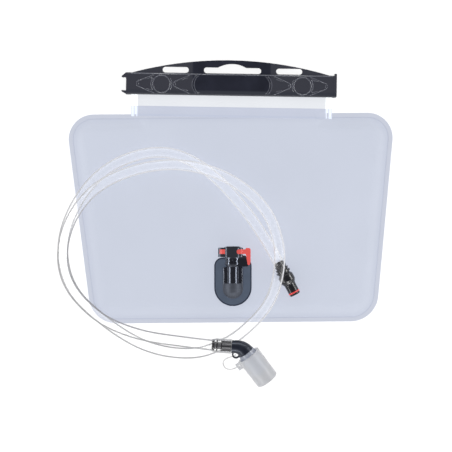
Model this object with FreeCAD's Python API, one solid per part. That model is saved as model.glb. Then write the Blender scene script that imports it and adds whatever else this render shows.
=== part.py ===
"""Hydration bladder: a low, wide water bag with a slide-off top closure, a self-sealing hose port and its
drinking tube, uncoupled and lying over the bag in loose turns.

Millimetres, +Z up. The empty bag lies flat on its back film: X runs across it, Y runs up to its closure.
The origin is the middle of the bag and closure in plan, on the surface they lie on.
"""
import FreeCAD, Part
import math
import os

V = FreeCAD.Vector
Z_UP = V(0, 0, 1)

# ---- bag: two welded films, four-sided with round corners -------------------------------------------------
BAG_CORNERS = [(-145.2, 67.9), (144.2, 69.7), (127.5, -113.3), (-121.7, -115.5)]
BAG_RADII = [21.9, 21.9, 24.5, 24.5]
FILM = 0.5                  # film thickness
WELD = 4.4                  # width of the flat welded rim
SLOPE = 11.6                # width over which the front film rises from the rim to its flat middle
PILLOW = 2.6                # how far the middle of the front film stands off the back film
PANEL_TOP = 2 * FILM + PILLOW

# ---- neck, rails and slide bar, in the bar's own frame: U along the bar, W up the bag, Z up ----------------
BAR_ORIGIN = V(0.3, 84.1, 0)
BAR_TURN = -0.95            # degrees that the closure lies askew to the bag
NECK = (-87.6, 88.7)        # U of the neck's two side edges
NECK_FOOT = (-19.5, -13.0, -3.0)    # W inside the bag's edge, where the neck starts to climb, at the bar
NECK_TOP = 11.0
BAR_U = (-92.0, 91.4)
BAR_HIGH = 19.1
BAR_THICK = 8.0
SLOT_MID = 3.9              # height of the middle of the two films in the bar's slot
SLOT_GAP = 2.0
SLOT_DEEP = 4.0
CAVITY_W = (4.0, 14.0)
CAVITY_Z = (1.2, 6.8)
RAIL_W = (5.5, 9.0)
RAIL_HIGH = 1.8
END_WALL = 1.6
PLATE_Z = (2.5, 5.5)
ARCH = [(-89.0, 18.6), (-1.0, 31.1), (88.0, 18.6)]
HANG_SLOTS = [(-60.3, -37.4), (39.1, 62.0)]
GRIP_SLOT = (-24.2, 26.0)
SLOT_W = (19.5, 24.7)
GRIP_ARCH = (-12.6, 13.8, 28.0)
RIDGE = 0.7                 # width of the raised lines moulded on the bar's face
RIDGE_HIGH = 0.4
RING_U = (-61.1, 62.3)
RING_R = 7.6
FACE_MID = 9.3

# ---- hose port --------------------------------------------------------------------------------------------
PORT_X = 1.9
FLANGE_Y = (-99.6, -57.7)
FLANGE_HALF = 16.1
FLANGE = 1.2
FLANGE_TOP = PANEL_TOP + FLANGE
AXIS_Z = 12.0               # height of the socket's axis
MOUTH_Y = -47.6
SOCKET_R = 5.0
SOCKET_END = -56.6
SEAT_END = -60.5
CHAMBER_END = -78.0
CHAMBER_R = 4.2
DROP_Y = -84.5              # where the passage turns down through the flange and film
DROP_R = 3.2
PLATE_Y = (-50.0, -54.2)    # inner faces of the two latch plates
PLATE_HALF = 6.6            # half height of the latch plates
SLOT_HALF = 6.1             # half height of the latch's slot through the collar
COLLAR_X = (-5.5, 8.1)
COLLAR_HALF = 7.5
LATCH_TRAVEL = 2.0
POPPET_TRAVEL = 3.0

# ---- plug, tube and bite valve ----------------------------------------------------------------------------
TUBE_R = 4.8
TUBE_BORE = 3.2
PLUG_TAIL = V(41.4, -61.3, 10.5)
PLUG_DIR = V(0.465, -0.885, 0).normalize()
PLUG_LONG = 32.2
ELBOW_IN = V(0.7, -134.5, 16.4)
CONNECTOR_TURN = -4.0       # degrees of the connector's axis from +X
CONNECTOR_LONG = 18.0
OUTLET_TURN = -52.7         # degrees of the mouthpiece's axis from +X, in plan
OUTLET_DIP = -9.2           # and how far it dips below level
BEND_AT = 9.3               # from the elbow's inlet to where its two axes cross
OUTLET_AT = 5.4             # and from there to its outlet face
SLEEVE_R = 6.3              # the tube's end, stretched over the connector

# The tube's route, from the plug's tail to the elbow's inlet: one loose turn and three quarters, the second
# part lying on the first where they cross and down the left side.
TUBE_ROUTE = [
    (41.35, -61.2, 10.5), (32.35, -44.0, 10.5), (9, -10, 8.9), (-22, 22, 8.9), (-59, 38, 8.9),
    (-103, 26, 8.9), (-132, -2, 8.2), (-149.5, -43, 5.1), (-142.5, -84, 5.6), (-111.5, -113.5, 6.6),
    (-74, -137, 5.1), (-33, -143, 5.0), (7, -127, 5.6), (33, -100, 12.0), (41.5, -74, 23.4),
    (43, -46, 23.4), (31, -13, 11.5), (-1, 13, 19.0), (-42, 25, 19.0), (-83, 21, 9.6),
    (-121, 3, 18.2), (-145.5, -33, 15.9), (-147, -75.5, 15.2), (-118, -109, 17.4), (-81, -125, 14.8),
    (-39, -131, 12.6), (-17.3, -133.2, 16.4),
]
TETHER_R = 0.55
TETHER_ROUTE = [
    (4.0, -141.8, 17.6), (3.9, -142.0, 12.4), (2.0, -143.6, 8.2), (-3.8, -145.6, 5.2), (-7.2, -148.8, 2.6),
    (-5.6, -154.2, 1.0), (-1.0, -156.0, 1.6), (3.6, -154.4, 5.4), (6.9, -151.9, 10.4), (7.05, -151.6, 16.6),
]


def direction(turn, dip=0.0):
    """The unit vector at an angle in plan from +X, and an angle above level."""
    t = math.radians(turn)
    d = math.radians(dip)
    return V(math.cos(d) * math.cos(t), math.cos(d) * math.sin(t), math.sin(d))


CONNECTOR_DIR = direction(CONNECTOR_TURN)
OUTLET_DIR = direction(OUTLET_TURN, OUTLET_DIP)
BEND = ELBOW_IN + CONNECTOR_DIR * BEND_AT
OUTLET = BEND + OUTLET_DIR * OUTLET_AT


# ---- small builders ---------------------------------------------------------------------------------------
def block(x, y, z):
    """A box between two limits on each axis."""
    return Part.makeBox(x[1] - x[0], y[1] - y[0], z[1] - z[0], V(x[0], y[0], z[0]))


def rod(radius, start, end):
    """A cylinder between two points."""
    axis = end - start
    return Part.makeCylinder(radius, axis.Length, start, axis)


def turned(profile, start, axis):
    """A solid of revolution: (distance along the axis, radius) points, closed back to the axis."""
    points = [V(r, 0, d) for d, r in profile]
    if profile[0][1] > 0 and profile[-1][1] > 0:
        points = [V(0, 0, profile[0][0])] + points + [V(0, 0, profile[-1][0])]
    face = Part.Face(Part.makePolygon(points + [points[0]]))
    solid = face.revolve(V(0, 0, 0), Z_UP, 360)
    solid.Placement = FreeCAD.Placement(start, FreeCAD.Rotation(Z_UP, axis))
    return solid


def ring(middle_r, wire_r, centre, axis):
    """An O-ring."""
    return Part.makeTorus(middle_r, wire_r, centre, axis)


def coil(radius, wire_r, turns, start, axis, length):
    """A helical spring with its axis from start, length long over its wire."""
    helix = Part.makeHelix((length - 2 * wire_r) / turns, length - 2 * wire_r, radius)
    section = Part.Wire(Part.Circle(V(radius, 0, 0), V(0, 1, 0), wire_r).toShape())
    solid = Part.Wire(helix.Edges).makePipeShell([section], True, True)
    solid.translate(Z_UP * wire_r)
    solid.Placement = FreeCAD.Placement(start, FreeCAD.Rotation(Z_UP, axis)).multiply(solid.Placement)
    return solid


def rounded_outline(corners, radii, z=0.0):
    """A closed wire round a convex outline whose corners are arcs."""
    edges = []
    count = len(corners)
    ends = []
    for i in range(count):
        here = V(*corners[i], z)
        back = (V(*corners[i - 1], z) - here).normalize()
        on = (V(*corners[(i + 1) % count], z) - here).normalize()
        half = back.getAngle(on) / 2
        reach = radii[i] / math.tan(half)
        middle = here + (back + on).normalize() * (radii[i] / math.sin(half))
        near = middle + (here - middle).normalize() * radii[i]
        ends.append((here + back * reach, near, here + on * reach))
    for i in range(count):
        start, near, end = ends[i]
        edges.append(Part.Arc(start, near, end).toShape())
        edges.append(Part.LineSegment(end, ends[(i + 1) % count][0]).toShape())
    return Part.Wire(edges)


def slab(wire, z0, z1):
    """The area inside a level wire, from z0 to z1."""
    face = Part.Face(wire)
    face.translate(Z_UP * (z0 - face.BoundBox.ZMin))
    return face.extrude(Z_UP * (z1 - z0))


def slab_of(points, z0, z1):
    """A flat plate with straight sides."""
    return slab(Part.makePolygon([V(*p, 0) for p in points + [points[0]]]), z0, z1)


def to_bag(shape):
    """Moves a shape from the bar's frame to the bag's."""
    shape.Placement = FreeCAD.Placement(BAR_ORIGIN, FreeCAD.Rotation(Z_UP, BAR_TURN)).multiply(shape.Placement)
    return shape


# ---- bag --------------------------------------------------------------------------------------------------
def bag_wire(inset, z):
    """The bag's outline, drawn in from its edge."""
    wire = rounded_outline(BAG_CORNERS, BAG_RADII, z)
    return wire.makeOffset2D(-inset) if inset else wire


def neck_strip(low):
    """One film's neck, which climbs from the bag's rim into the bar; low is its underside at the bag."""
    inside, foot, mouth = NECK_FOOT
    rise = SLOT_MID - FILM
    points = [(inside, low), (foot, low), (mouth, low + rise), (NECK_TOP, low + rise)]
    points += [(w, z + FILM) for w, z in reversed(points)]
    face = Part.Face(Part.makePolygon([V(NECK[0], w, z) for w, z in points + [points[0]]]))
    return to_bag(face.extrude(V(NECK[1] - NECK[0], 0, 0)))


def back_film():
    return slab(bag_wire(0, 0), 0, FILM).fuse(neck_strip(0)).removeSplitter()


def front_film():
    def dome(z):
        return Part.makeLoft([bag_wire(WELD, z), bag_wire(WELD + SLOPE, z + PILLOW)], True, True)

    film = slab(bag_wire(0, 0), FILM, 2 * FILM).fuse([dome(2 * FILM), neck_strip(FILM)])
    film = film.cut(dome(FILM))
    hole = rod(DROP_R, V(PORT_X, DROP_Y, 0.6), V(PORT_X, DROP_Y, PANEL_TOP + 1))
    return film.cut(hole).removeSplitter()


def rail(side):
    """A bead welded along a neck film's top edge, which the bar's cavity traps."""
    low = SLOT_MID + FILM if side > 0 else SLOT_MID - FILM - RAIL_HIGH
    return to_bag(block(NECK, RAIL_W, (low, low + RAIL_HIGH)))


# ---- slide bar --------------------------------------------------------------------------------------------
def band(points, width, z0, z1):
    """A raised line of even width through points on the bar's face, with mitred turns."""
    points = [V(u, w, 0) for u, w in points]
    runs = [(b - a).normalize() for a, b in zip(points, points[1:])]
    runs = [runs[0]] + runs + [runs[-1]]
    left = []
    right = []
    for point, back, on in zip(points, runs, runs[1:]):
        side = Z_UP.cross(back + on).normalize()
        reach = width / 2 / math.cos(back.getAngle(on) / 2)
        left.append(point + side * reach)
        right.append(point - side * reach)
    return slab_of([(p.x, p.y) for p in right + left[::-1]], z0, z1)


def face_relief():
    """The raised rings, brackets and pointed outlines on the bar's face."""
    z0 = BAR_THICK - 0.6
    z1 = BAR_THICK + RIDGE_HIGH
    parts = []
    for u in RING_U:
        outward = math.copysign(1, u)
        centre = V(u, FACE_MID, z0)
        disc = Part.makeCylinder(RING_R + RIDGE / 2, z1 - z0, centre)
        parts.append(disc.cut(Part.makeCylinder(RING_R - RIDGE / 2, z1 - z0, centre)))
        for tip, spread in ((u + outward * 21.5, 15.0), (u - outward * 10.6, 14.0)):
            legs = [(tip - outward * spread, FACE_MID + 7.6), (tip - outward * 2.0, FACE_MID + 1.8),
                    (tip, FACE_MID), (tip - outward * 2.0, FACE_MID - 1.8),
                    (tip - outward * spread, FACE_MID - 7.6)]
            parts.append(band(legs, RIDGE, z0, z1))
        for shift in (26.8, 28.8):
            tip = u - outward * shift
            arc = [(tip - outward * 9.6 * (1 - math.cos(a)), FACE_MID + 9.6 * math.sin(a))
                   for a in (-0.9, -0.6, -0.3, 0.0, 0.3, 0.6, 0.9)]
            parts.append(band(arc, RIDGE, z0, z1))
    return parts


def handle_plate():
    """The arched plate above the bar, with its three slots."""
    start, crest, end = [V(*p, 0) for p in ARCH]
    edges = [Part.Arc(start, crest, end).toShape(), Part.LineSegment(end, start).toShape()]
    plate = slab(Part.Wire(edges), *PLATE_Z)
    for low, high in HANG_SLOTS + [GRIP_SLOT]:
        r = (SLOT_W[1] - SLOT_W[0]) / 2 - 0.01
        corners = [(low, SLOT_W[0]), (high, SLOT_W[0]), (high, SLOT_W[1]), (low, SLOT_W[1])]
        plate = plate.cut(slab(rounded_outline(corners, [r] * 4), PLATE_Z[0] - 1, PLATE_Z[1] + 1))
    low, high, top = GRIP_ARCH
    middle = (low + high) / 2
    arch = [Part.Arc(V(low, SLOT_W[1] - 0.5, 0), V(middle, top, 0), V(high, SLOT_W[1] - 0.5, 0)).toShape()]
    arch.append(Part.LineSegment(V(high, SLOT_W[1] - 0.5, 0), V(low, SLOT_W[1] - 0.5, 0)).toShape())
    return plate.cut(slab(Part.Wire(arch), PLATE_Z[0] - 1, PLATE_Z[1] + 1))


def slide_bar():
    """One moulding: the channel that slides over the rails, its handle plate, lead-in prongs and end lip."""
    body = block(BAR_U, (0, BAR_HIGH), (0, BAR_THICK))
    body = body.makeFillet(1.6, [e for e in body.Edges if e.BoundBox.XLength > 100])
    cavity_u = (BAR_U[0] - 1, BAR_U[1] - END_WALL)
    body = body.cut(block(cavity_u, CAVITY_W, CAVITY_Z))
    slot_z = (SLOT_MID - SLOT_GAP / 2, SLOT_MID + SLOT_GAP / 2)
    body = body.cut(block(cavity_u, (-1, SLOT_DEEP + 1), slot_z))
    left = BAR_U[0]
    pieces = [handle_plate()]
    for root, tip in (((14.8, 18.8), 15.4), ((0.4, 3.2), 3.0)):
        prong = [(left + 2, root[0]), (left + 2, root[1]), (left - 0.4, root[1]), (left - 3.9, tip + 0.5),
                 (left - 3.9, tip - 0.5), (left, root[0])]
        pieces.append(slab_of(prong, 0.8, 7.2))
    right = BAR_U[1]
    pieces.append(block((right - 1.2, right + 0.8), (0.6, BAR_HIGH + 1.4), (0.8, BAR_THICK + 0.3)))
    bar = body.fuse(pieces + face_relief()).removeSplitter()
    bar = bar.cut(block((cavity_u[0] - 4, cavity_u[1]), CAVITY_W, CAVITY_Z))
    bar = bar.cut(block((cavity_u[0] - 4, cavity_u[1]), (-1, SLOT_DEEP + 1), slot_z))
    return to_bag(bar)


# ---- port -------------------------------------------------------------------------------------------------
def at_axis(y, z=AXIS_Z):
    return V(PORT_X, y, z)


def port_flange():
    """The oval weld flange: round at the bottom, small-cornered at the top."""
    x = (PORT_X - FLANGE_HALF, PORT_X + FLANGE_HALF)
    y = FLANGE_Y
    corners = [(x[0], y[1]), (x[1], y[1]), (x[1], y[0]), (x[0], y[0])]
    radii = [7.0, 7.0, FLANGE_HALF - 0.01, FLANGE_HALF - 0.01]
    plate = slab(rounded_outline(corners, radii), PANEL_TOP, FLANGE_TOP)
    top = [e for e in plate.Edges if e.BoundBox.ZMin > FLANGE_TOP - 0.01]
    plate = plate.makeChamfer(0.4, top)
    return plate.cut(rod(DROP_R, at_axis(DROP_Y, 0), at_axis(DROP_Y, 9)))


def latch_plate(corners, radii):
    """An upright plate across the socket, drawn in plan, with its outer edges rounded as seen along the socket."""
    plan = slab(rounded_outline(corners, radii), AXIS_Z - PLATE_HALF, AXIS_Z + PLATE_HALF)
    box = plan.BoundBox
    bar = block((box.XMin, box.XMax), (-60, -45), (AXIS_Z - PLATE_HALF, AXIS_Z + PLATE_HALF))
    return plan.common(bar.makeFillet(3.0, [e for e in bar.Edges if e.BoundBox.YLength > 5]))


def collar():
    """The socket's collar with its two latch plates and arched mouth, and a roof notch for the latch's arm."""
    left, right = COLLAR_X
    shoulder = MOUTH_Y - 1.1
    body = block(COLLAR_X, (-57, shoulder), (AXIS_Z - COLLAR_HALF, AXIS_Z + COLLAR_HALF))
    body = body.makeFillet(3.0, [e for e in body.Edges if e.BoundBox.YLength > 5])
    mouth = [(left - 0.7, shoulder), (PORT_X - 5.4, MOUTH_Y), (PORT_X + 5.4, MOUTH_Y), (right + 1.5, shoulder),
             (right + 1.5, PLATE_Y[0]), (left - 0.7, PLATE_Y[0])]
    top = [(-10.9, shoulder), (10.6, shoulder), (10.6, PLATE_Y[0]), (-10.9, PLATE_Y[0])]
    low = [(-10.9, PLATE_Y[1]), (10.7, PLATE_Y[1]), (10.7, -56.8), (-10.9, -56.8)]
    whole = body.fuse([latch_plate(mouth, [0.3, 4.0, 4.0, 0.3, 0.2, 0.2]), latch_plate(top, [0.6] * 4),
                       latch_plate(low, [1.2] * 4)])
    arm_y = (PLATE_Y[1] - 0.05, PLATE_Y[0] + 0.05)
    end = V(7.2, sum(arm_y) / 2, AXIS_Z)
    notch = rod((arm_y[1] - arm_y[0]) / 2, end, end + Z_UP * 9)
    notch = notch.fuse(block((end.x, 14), arm_y, (AXIS_Z, AXIS_Z + 9)))
    return whole.cut([notch, block((-12, 14), PLATE_Y[::-1], (AXIS_Z - SLOT_HALF, AXIS_Z + SLOT_HALF))])


def thumb_wing():
    """The wing that the thumb squeezes the latch's leg against: a tall inner part and a low shelf under the leg."""
    tall = [(2.0, -56.9), (10.5, -56.9), (11.9, -64.3), (2.0, -64.6)]
    shelf = [(2.0, -55.6), (13.2, -55.6), (16.6, -64.9), (2.0, -65.8)]
    return [slab(rounded_outline(tall, [0.3, 1.0, 1.5, 0.3]), 5.2, 17.4),
            slab(rounded_outline(shelf, [0.3, 1.5, 2.0, 0.3]), 5.2, 10.6)]


def port_housing():
    """The rigid port: boss, elbow dome, valve barrel, neck, collar and thumb wing."""
    x = PORT_X
    boss_half = 8.95
    corners = [(x - boss_half, -65.4), (x + boss_half, -65.4), (x + boss_half, -93.3), (x - boss_half, -93.3)]
    boss = slab(rounded_outline(corners, [2.0, 2.0, boss_half - 0.01, boss_half - 0.01]), FLANGE_TOP, 9.6)
    boss = boss.makeFillet(1.8, [e for e in boss.Edges if e.BoundBox.ZMin > 9.59])
    dome = turned([(-4.8, 0.0), (-4.8, 7.4), (-4.3, 7.9), (0.0, 8.3), (3.2, 7.9), (5.8, 6.6), (7.8, 4.2), (8.7, 0.0)],
                  at_axis(DROP_Y, 9.6), V(0, -1, 0))
    barrel = rod(5.15, at_axis(-57), at_axis(-80))
    neck = turned([(0, 7.1), (2.4, 7.1), (2.8, 6.5), (4.2, 6.5), (4.6, 7.1), (6.4, 7.1), (8.6, 5.2)],
                  at_axis(-56.8), V(0, -1, 0))
    housing = boss.fuse([dome, barrel, neck, collar()] + thumb_wing()).removeSplitter()
    cuts = [
        rod(SOCKET_R, at_axis(MOUTH_Y + 1), at_axis(SOCKET_END)),
        rod(3.0, at_axis(SOCKET_END + 0.5), at_axis(SEAT_END - 0.5)),
        rod(CHAMBER_R, at_axis(SEAT_END), at_axis(CHAMBER_END)),
        rod(DROP_R, at_axis(CHAMBER_END + 0.5), at_axis(DROP_Y)),
        rod(DROP_R, at_axis(DROP_Y), at_axis(DROP_Y, 0)),
    ]
    for cut in cuts:
        housing = housing.cut(cut)
    post = block((x - 12.8, x - 11.8), (-56.8, MOUTH_Y - 1.3), (AXIS_Z - PLATE_HALF, AXIS_Z - 1.0))
    return housing.fuse(post).cut(block((-20, 20), (-100, -40), (-5, FLANGE_TOP))).removeSplitter()


def release_latch():
    """The latch: a plate with a hole that the plug passes, an arm out to the right and a thumb leg."""
    x = PORT_X
    y = (PLATE_Y[1] + 0.1, PLATE_Y[0] - 0.1)
    plate = block((x - 11.6, x + 8.8), y, (AXIS_Z - 5.9, AXIS_Z + 5.9))
    plate = plate.makeFillet(2.5, [e for e in plate.Edges if e.BoundBox.YLength > 3])
    plate = plate.cut(block((x - 13, x - 8.0), (-56, -49), (AXIS_Z - 7, AXIS_Z - 0.8)))
    hole_r = SOCKET_R + 0.15
    for shift in (0.0, LATCH_TRAVEL):
        plate = plate.cut(rod(hole_r, V(x + shift, -49, AXIS_Z), V(x + shift, -56, AXIS_Z)))
    middle = (x, x + LATCH_TRAVEL)
    plate = plate.cut(block(middle, (-56, -49), (AXIS_Z - hole_r, AXIS_Z + hole_r)))
    arm = block((x + 7.8, 16.6), y, (AXIS_Z + 1.4, AXIS_Z + 5.9))
    top = -48.9
    leg_profile = [(13.0, top), (16.2, top), (17.2, top - 1.2), (17.2, -60.5), (16.6, -63.3), (15.4, -63.9),
                   (14.5, -63.0), (13.4, -55.2), (13.0, -55.2)]
    leg = slab_of(leg_profile, AXIS_Z - 0.9, AXIS_Z + 5.4)
    stop = block((13.0, 17.2), (-55.2, top - 1.2), (AXIS_Z - 3.6, AXIS_Z + 2))
    latch = plate.fuse([arm, leg, stop]).removeSplitter()
    return latch


def latch_spring():
    return coil(1.5, 0.16, 3, V(PORT_X - 11.75, -52.1, AXIS_Z - 3.6), V(1, 0, 0), 3.7)


def valve_poppet():
    """The piston that shuts the socket when no plug holds it open."""
    return turned([(0, 1.2), (0.6, 1.6), (4.5, 1.6), (4.5, 3.9), (7.0, 3.9), (7.6, 3.0), (7.6, 1.7), (12.8, 1.7)],
                  at_axis(-56.8), V(0, -1, 0))


def poppet_seal():
    seal = rod(3.75, at_axis(SEAT_END - 0.05), at_axis(-61.2))
    return seal.cut(rod(1.6, at_axis(-60), at_axis(-62)))


def poppet_spring():
    return coil(2.7, 0.35, 6, at_axis(-64.5), V(0, -1, 0), 13.3)


# ---- plug -------------------------------------------------------------------------------------------------
def quick_plug():
    """The hose's plug: barbed tail, wide shoulder, spigot with an O-ring groove, bored right through."""
    barbs = [(0.0, 3.9)]
    for i in range(4):
        d = 0.6 + 2.7 * i
        root = 3.9 + 0.35 * i
        tip = 4.8 + 0.55 * i
        barbs += [(d, root), (d + 0.1, tip), (d + 2.0, tip - 0.5), (d + 2.1, root)]
    profile = barbs + [(11.8, 5.2), (13.4, 6.65), (18.6, 6.65), (20.6, 5.5), (21.6, 4.9), (28.8, 4.9), (28.8, 3.9),
                       (30.6, 3.9), (30.6, 4.9), (31.4, 4.8), (PLUG_LONG, 4.0)]
    plug = turned(profile, PLUG_TAIL, PLUG_DIR)
    return plug.cut(rod(TUBE_BORE - 0.4, PLUG_TAIL - PLUG_DIR, PLUG_TAIL + PLUG_DIR * (PLUG_LONG + 1)))


def plug_oring():
    return ring(4.55, 0.64, PLUG_TAIL + PLUG_DIR * 29.7, PLUG_DIR)


# ---- tube -------------------------------------------------------------------------------------------------
def smooth_path(route, name):
    """Straight runs joined by the largest tangent arcs they leave room for; prints the arcs' radii."""
    points = [V(*p) for p in route]
    edges = []
    here = points[0]
    radii = []
    for i in range(1, len(points) - 1):
        back = points[i - 1] - points[i]
        on = points[i + 1] - points[i]
        turn = math.pi - back.getAngle(on)
        reach = 0.45 * min(back.Length, on.Length)
        radius = reach / math.tan(turn / 2)
        radii.append(radius)
        back.normalize()
        on.normalize()
        start = points[i] + back * reach
        end = points[i] + on * reach
        centre = points[i] + (back + on).normalize() * math.hypot(radius, reach)
        near = centre + (points[i] - centre).normalize() * radius
        edges.append(Part.LineSegment(here, start).toShape())
        edges.append(Part.Arc(start, near, end).toShape())
        here = end
    edges.append(Part.LineSegment(here, points[-1]).toShape())
    print(name, "arc radii", [round(r) for r in radii], "length", round(sum(e.Length for e in edges), 1))
    return Part.Wire(edges)


def sweep(path, radius):
    """A round bar along a path."""
    start = path.Edges[0].valueAt(path.Edges[0].FirstParameter)
    along = path.Edges[0].tangentAt(path.Edges[0].FirstParameter)
    section = Part.Wire(Part.Circle(start, along, radius).toShape())
    return path.makePipeShell([section], True, True)


def drinking_tube():
    """The clear tube, hollow, with its end stretched over the connector's barbs."""
    path = smooth_path(TUBE_ROUTE, "tube")
    bore = sweep(path, TUBE_BORE)
    outer = sweep(path, TUBE_R)
    length = sum(e.Length for e in path.Edges)
    for solid, radius in ((outer, TUBE_R), (bore, TUBE_BORE)):
        share = solid.Volume / (math.pi * radius ** 2 * length)
        print("swept volume over section times length", round(share, 4), "valid", solid.isValid())
    tube = outer.cut(bore)
    start = ELBOW_IN - CONNECTOR_DIR * CONNECTOR_LONG
    sleeve = turned([(-0.1, TUBE_R - 0.05), (1.6, 5.7), (3.4, 5.8), (4.6, SLEEVE_R),
                     (CONNECTOR_LONG - 0.15, SLEEVE_R)], start, CONNECTOR_DIR)
    hollow = turned([(-0.3, TUBE_BORE), (0.2, TUBE_BORE), (0.6, 4.35), (1.3, 5.05), (3.4, 5.05), (4.2, 5.6),
                     (CONNECTOR_LONG + 1, 5.6)], start, CONNECTOR_DIR)
    return tube.fuse(sleeve.cut(hollow)).removeSplitter()


# ---- bite valve -------------------------------------------------------------------------------------------
def bite_connector():
    """The barbed connector: three rings, six lengthwise ribs and a spigot that the elbow swivels on."""
    start = ELBOW_IN - CONNECTOR_DIR * (CONNECTOR_LONG - 0.8)
    core_r = 3.1
    ring_r = 5.5
    profile = [(0, 4.2), (0.5, 4.9), (2.2, 4.9), (2.4, core_r), (3.7, core_r), (4.0, ring_r), (5.0, ring_r),
               (5.3, core_r), (7.6, core_r), (7.9, ring_r), (8.8, ring_r), (9.1, core_r), (17.0, core_r), (17.0, 3.6),
               (18.2, 3.6), (18.2, 3.0), (19.4, 3.0), (19.4, 3.6), (21.2, 3.6)]
    core = turned(profile, start, CONNECTOR_DIR)
    ribs = []
    for i in range(6):
        rib = Part.makeBox(8.6, 1.3, 2.2, V(8.4, -0.65, 2.6))
        rib.rotate(V(0, 0, 0), V(1, 0, 0), 60 * i)
        rib.Placement = FreeCAD.Placement(start, FreeCAD.Rotation(Z_UP, CONNECTOR_TURN)).multiply(rib.Placement)
        ribs.append(rib)
    return core.fuse(ribs).cut(rod(2.2, start - CONNECTOR_DIR, start + CONNECTOR_DIR * 24)).removeSplitter()


def swivel_oring():
    return ring(3.32, 0.3, ELBOW_IN + CONNECTOR_DIR * 1.6, CONNECTOR_DIR)


def elbow_stations():
    """Centres, directions and radii of sections along the elbow's bend."""
    turn = CONNECTOR_DIR.getAngle(OUTLET_DIR)
    radius = OUTLET_AT / math.tan(turn / 2)
    hinge = CONNECTOR_DIR.cross(OUTLET_DIR).normalize()
    inward = hinge.cross(CONNECTOR_DIR).normalize()
    first = BEND - CONNECTOR_DIR * OUTLET_AT
    stations = [(ELBOW_IN, CONNECTOR_DIR, 5.7)]
    steps = 5
    for i in range(steps + 1):
        a = turn * i / steps
        centre = first + CONNECTOR_DIR * (radius * math.sin(a)) + inward * (radius * (1 - math.cos(a)))
        along = CONNECTOR_DIR * math.cos(a) + inward * math.sin(a)
        stations.append((centre, along, 5.8 + 1.3 * i / steps))
    return stations


def bite_elbow():
    """The elbow: a bend that widens to its outlet, with the tether's eyelet on its inside."""
    stations = elbow_stations()
    outer = Part.makeLoft([Part.Wire(Part.Circle(c, d, r).toShape()) for c, d, r in stations], True, False)
    across = (OUTLET_DIR - CONNECTOR_DIR).normalize()
    eye = BEND - CONNECTOR_DIR * 1.9 + across * 7.6
    face = CONNECTOR_DIR.cross(OUTLET_DIR).normalize()
    lug = Part.makeCylinder(3.4, 2.4, eye - face * 1.2, face)
    elbow = outer.fuse(lug)
    elbow = elbow.cut(Part.makeCylinder(2.2, 6, eye - face * 3, face))
    elbow = elbow.cut(rod(3.7, ELBOW_IN - CONNECTOR_DIR, ELBOW_IN + CONNECTOR_DIR * 4.4))
    elbow = elbow.cut(rod(2.6, ELBOW_IN, BEND))
    elbow = elbow.cut(rod(2.6, BEND - OUTLET_DIR * 0.5, OUTLET + OUTLET_DIR))
    return elbow.cut(rod(4.6, OUTLET - OUTLET_DIR * 2.2, OUTLET + OUTLET_DIR))


def valve_core():
    """The clear core that plugs into the elbow's outlet and carries the mouthpiece and cap."""
    core = turned([(-2.0, 4.5), (0.15, 4.5), (0.15, 7.5), (3.2, 7.5), (3.2, 8.5), (4.6, 8.5), (4.6, 5.2),
                   (9.0, 5.2), (9.0, 4.6), (10.4, 4.6)], OUTLET, OUTLET_DIR)
    return core.cut(rod(2.6, OUTLET - OUTLET_DIR * 3, OUTLET + OUTLET_DIR * 12))


def mouthpiece():
    """The soft bite valve, stretched over the core, with its slit tip."""
    outer = turned([(4.75, 7.6), (8.5, 7.6), (10.0, 6.6), (14.5, 6.4), (19.0, 6.9), (21.5, 6.2), (22.8, 4.4)],
                   OUTLET, OUTLET_DIR)
    hollow = turned([(4.0, 5.35), (9.15, 5.35), (9.15, 4.9), (20.0, 4.9), (21.2, 3.6)], OUTLET, OUTLET_DIR)
    slit_dir = OUTLET_DIR.cross(Z_UP).normalize()
    slit = Part.makeBox(4.0, 7.0, 0.3, V(0, -3.5, -0.15))
    slit.Placement = FreeCAD.Placement(OUTLET + OUTLET_DIR * 20.2,
                                       FreeCAD.Rotation(OUTLET_DIR, slit_dir, V(0, 0, 0), "XYZ"))
    return outer.cut(hollow).cut(slit)


def dust_cap():
    """The translucent cover over the mouthpiece, with the tether's tab at its rim."""
    outer = turned([(3.3, 10.5), (4.6, 10.5), (30.8, 10.2), (31.6, 9.6), (32.0, 8.6)], OUTLET, OUTLET_DIR)
    side = Z_UP.cross(OUTLET_DIR).normalize() * -1
    tab = Part.makeBox(6.3, 4.9, 2.4, V(0, 9.3, -1.2))
    tab.Placement = FreeCAD.Placement(OUTLET + OUTLET_DIR * 3.3,
                                      FreeCAD.Rotation(OUTLET_DIR, side, V(0, 0, 0), "XYZ"))
    cap = outer.fuse(tab)
    hollow = turned([(3.0, 9.35), (30.6, 9.1), (30.8, 8.6)], OUTLET, OUTLET_DIR)
    cap = cap.cut(hollow)
    face = OUTLET_DIR.cross(side).normalize()
    eye = OUTLET + OUTLET_DIR * 6.1 + side * 12.3
    return cap.cut(Part.makeCylinder(0.9, 6, eye - face * 3, face))


def cap_tether():
    """The thin cord from the elbow's eyelet to the cap's tab, lying slack."""
    return sweep(smooth_path(TETHER_ROUTE, "tether"), TETHER_R)


NODES = {
    "back_film": back_film,
    "front_film": front_film,
    "back_rail": lambda: rail(-1),
    "front_rail": lambda: rail(1),
    "slide_bar": slide_bar,
    "port_flange": port_flange,
    "port_housing": port_housing,
    "release_latch": release_latch,
    "latch_spring": latch_spring,
    "valve_poppet": valve_poppet,
    "poppet_seal": poppet_seal,
    "poppet_spring": poppet_spring,
    "quick_plug": quick_plug,
    "plug_oring": plug_oring,
    "drinking_tube": drinking_tube,
    "bite_connector": bite_connector,
    "swivel_oring": swivel_oring,
    "bite_elbow": bite_elbow,
    "valve_core": valve_core,
    "mouthpiece": mouthpiece,
    "dust_cap": dust_cap,
    "cap_tether": cap_tether,
}


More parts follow.
